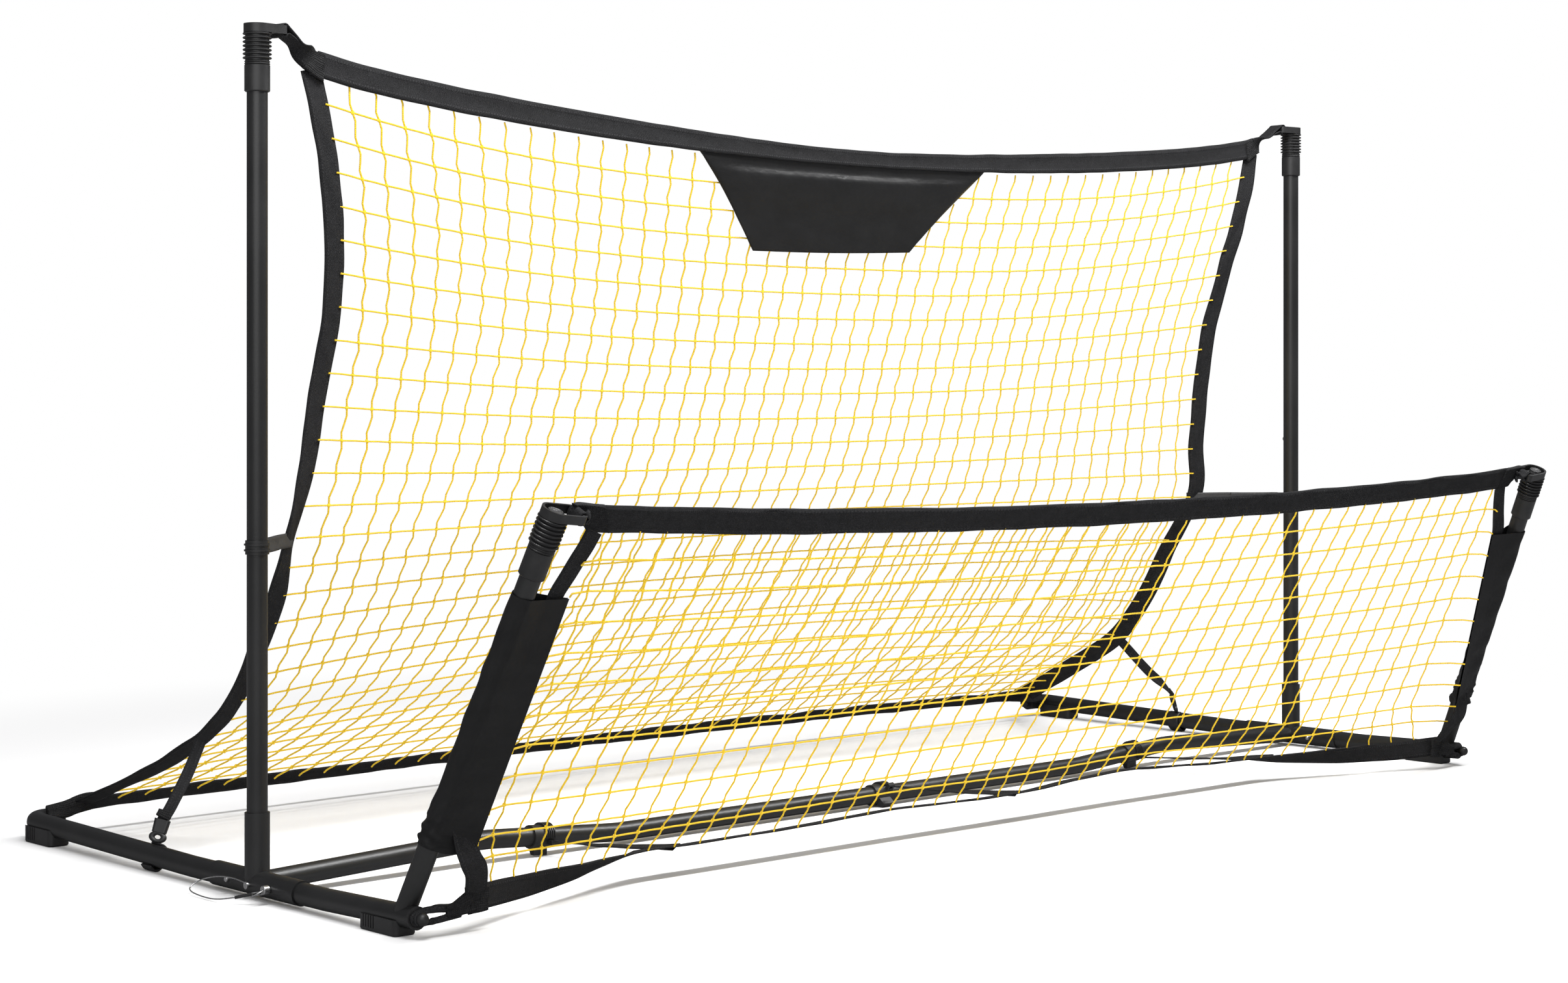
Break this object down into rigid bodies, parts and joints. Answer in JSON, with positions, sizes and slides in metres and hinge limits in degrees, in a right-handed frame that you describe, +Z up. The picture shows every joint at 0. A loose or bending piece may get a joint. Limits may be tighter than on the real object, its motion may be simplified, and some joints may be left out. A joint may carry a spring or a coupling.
{
  "type": "pitch back rebounder",
  "caption": "Free-standing lawn rebounder: black tube frame with a tall curved gold net and a low forward-sloping net, straps, snap buttons and lock pins",
  "frame": {"origin": "centre of the footprint's bounding box, on the floor", "axes": "X along the crossbar to the right, Y to the rear (the low sloping net is at -Y), Z up"},
  "size_m": [2.1491, 1.1221, 1.0627],
  "materials": {
    "black_tube": "satin black powder coat",
    "black_plastic": "moulded, lightly textured",
    "bright_steel": "bright zinc plate",
    "gold_cord": "knotted twine",
    "vinyl": "glossy vinyl sheet",
    "black_webbing": "woven webbing"
  },
  "bodies": {
    "frame": {"corner_straps": "black_webbing", "crossbar_arm_left": "black_tube", "crossbar_arm_right": "black_tube", "crossbar_middle": "black_tube", "foot_straps": "black_webbing", "front_band_bottom": "black_webbing", "front_band_top": "black_webbing", "front_cap_left": "black_plastic", "front_cap_right": "black_plastic", "front_net": "gold_cord", "front_pole_left": "black_tube", "front_pole_right": "black_tube", "front_rail_knobs": "black_plastic", "front_rail_left": "black_tube", "front_rail_right": "black_tube", "lanyard_crimp": "black_plastic", "lanyard_rivets": "bright_steel", "lanyard_wire": "bright_steel", "lower_upright_left": "black_tube", "lower_upright_right": "black_tube", "main_band_bottom": "black_webbing", "main_band_side_left": "black_webbing", "main_band_side_right": "black_webbing", "main_band_top": "black_webbing", "main_cap_left": "black_plastic", "main_cap_right": "black_plastic", "main_net": "gold_cord", "net_patch": "vinyl", "pole_sleeve_left": "black_webbing", "pole_sleeve_right": "black_webbing", "rail_buckles": "black_plastic", "rail_feet": "black_plastic", "rail_sleeve_left": "black_tube", "rail_sleeve_right": "black_tube", "rail_straps": "black_webbing", "rear_rail_left": "black_tube", "rear_rail_plugs": "black_plastic", "rear_rail_right": "black_tube", "snap_springs": "bright_steel", "swivel_studs": "bright_steel", "upper_upright_left": "black_tube", "upper_upright_right": "black_tube", "upright_socket_left": "black_tube", "upright_socket_right": "black_tube", "upright_straps": "black_webbing"},
    "lock_pin_left": {"lock_pin_left": "bright_steel"},
    "upright_button_left": {"upright_button_left": "bright_steel"},
    "rail_button_left": {"rail_button_left": "bright_steel"},
    "main_swivel_left": {"main_swivel_left": "black_plastic"},
    "front_swivel_left": {"front_swivel_left": "black_plastic"},
    "strap_clip_left": {"strap_clip_left": "black_plastic"},
    "clip_foot_left": {"clip_foot_left": "black_plastic"},
    "lock_pin_right": {"lock_pin_right": "bright_steel"},
    "upright_button_right": {"upright_button_right": "bright_steel"},
    "rail_button_right": {"rail_button_right": "bright_steel"},
    "main_swivel_right": {"main_swivel_right": "black_plastic"},
    "front_swivel_right": {"front_swivel_right": "black_plastic"},
    "strap_clip_right": {"strap_clip_right": "black_plastic"},
    "clip_foot_right": {"clip_foot_right": "black_plastic"},
    "clip_foot_centre": {"clip_foot_centre": "black_plastic"}
  },
  "joints": [
    {"name": "lock_pin_slide_left", "type": "slide", "parent": "frame", "child": "lock_pin_left", "axis": [-1, 0, 0], "range_m": [0, 0.045]},
    {"name": "upright_button_press_left", "type": "slide", "parent": "frame", "child": "upright_button_left", "axis": [0, -1, 0], "range_m": [0, 0.0035], "stiffness_N_per_m": 500, "springref_m": -0.002},
    {"name": "rail_button_press_left", "type": "slide", "parent": "frame", "child": "rail_button_left", "axis": [1, 0, 0], "range_m": [0, 0.0035], "stiffness_N_per_m": 500, "springref_m": -0.002},
    {"name": "main_swivel_turn_left", "type": "hinge", "parent": "frame", "child": "main_swivel_left", "pos_m": [-1.03, -0.0309, 1.055], "axis": [0, 0, 1], "range_deg": [-15, 15]},
    {"name": "front_swivel_turn_left", "type": "hinge", "parent": "frame", "child": "front_swivel_left", "pos_m": [-0.97441, -0.54158, 0.47607], "axis": [0.1112, -0.4054, 0.9074], "range_deg": [-15, 15]},
    {"name": "strap_clip_slide_left", "type": "slide", "parent": "frame", "child": "strap_clip_left", "axis": [0, 0, 1], "range_m": [-0.03, 0.03]},
    {"name": "clip_foot_turn_left", "type": "hinge", "parent": "frame", "child": "clip_foot_left", "pos_m": [-0.6, -0.0309, 0.02578], "axis": [0.9976, 0, -0.0689], "range_deg": [-15, 15]},
    {"name": "lock_pin_slide_right", "type": "slide", "parent": "frame", "child": "lock_pin_right", "axis": [1, 0, 0], "range_m": [0, 0.045]},
    {"name": "upright_button_press_right", "type": "slide", "parent": "frame", "child": "upright_button_right", "axis": [0, -1, 0], "range_m": [0, 0.0035], "stiffness_N_per_m": 500, "springref_m": -0.002},
    {"name": "rail_button_press_right", "type": "slide", "parent": "frame", "child": "rail_button_right", "axis": [-1, 0, 0], "range_m": [0, 0.0035], "stiffness_N_per_m": 500, "springref_m": -0.002},
    {"name": "main_swivel_turn_right", "type": "hinge", "parent": "frame", "child": "main_swivel_right", "pos_m": [1.03, -0.0309, 1.055], "axis": [0, 0, 1], "range_deg": [-15, 15]},
    {"name": "front_swivel_turn_right", "type": "hinge", "parent": "frame", "child": "front_swivel_right", "pos_m": [0.97441, -0.54158, 0.47607], "axis": [-0.1112, -0.4054, 0.9074], "range_deg": [-15, 15]},
    {"name": "strap_clip_slide_right", "type": "slide", "parent": "frame", "child": "strap_clip_right", "axis": [0, 0, 1], "range_m": [-0.03, 0.03]},
    {"name": "clip_foot_turn_right", "type": "hinge", "parent": "frame", "child": "clip_foot_right", "pos_m": [0.6, -0.0309, 0.02578], "axis": [0.9976, 0, 0.0689], "range_deg": [-15, 15]},
    {"name": "clip_foot_turn_centre", "type": "hinge", "parent": "frame", "child": "clip_foot_centre", "pos_m": [0.03, -0.0309, 0.0168], "axis": [1, 0, 0], "range_deg": [-10, 0]}
  ]
}
